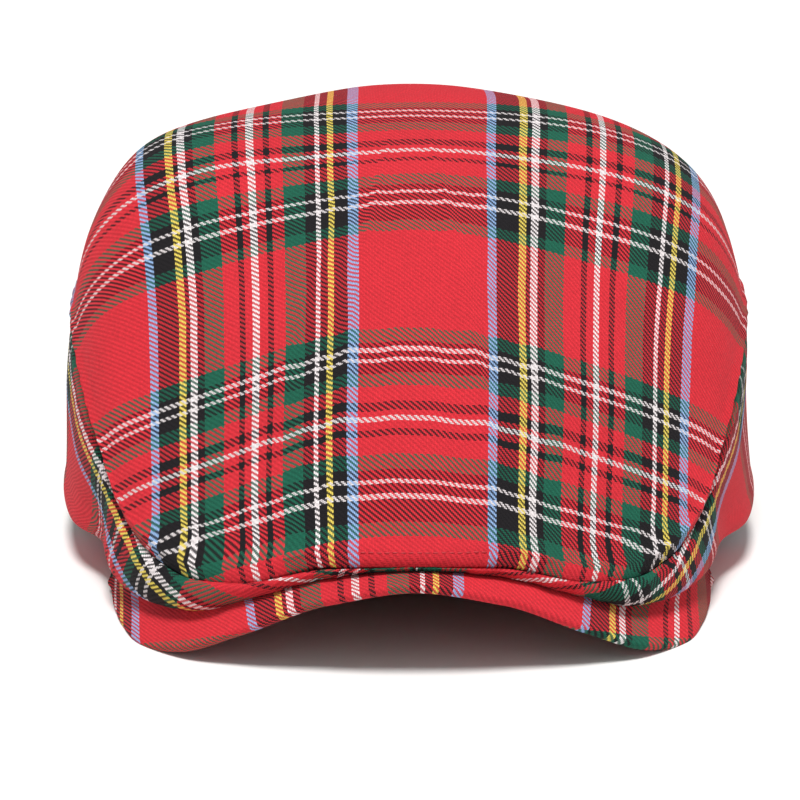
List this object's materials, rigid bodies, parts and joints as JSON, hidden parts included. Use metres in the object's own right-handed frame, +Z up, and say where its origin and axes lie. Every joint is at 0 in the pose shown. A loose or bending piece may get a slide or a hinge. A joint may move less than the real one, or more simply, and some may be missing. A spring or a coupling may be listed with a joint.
{
  "type": "tartan flat cap",
  "caption": "Empty duckbill flat cap of red tartan cloth with a tongue-shaped top panel, two side panels, a short arched peak and an inner sweatband.",
  "frame": {"origin": "under the middle of the cap, on the plane that the low sides of its peak and its back rim rest on", "axes": "+Z up, -Y towards the front of the cap, +X towards the wearer's left"},
  "size_m": [0.2084, 0.2502, 0.1268],
  "materials": {
    "tartan_cloth": "twill weave, matt",
    "sweatband_cloth": "plain weave, matt"
  },
  "bodies": {
    "root": {"top_panel": "tartan_cloth", "side_panel_left": "tartan_cloth", "side_panel_right": "tartan_cloth", "peak": "tartan_cloth", "sweatband": "sweatband_cloth"}
  },
  "joints": []
}
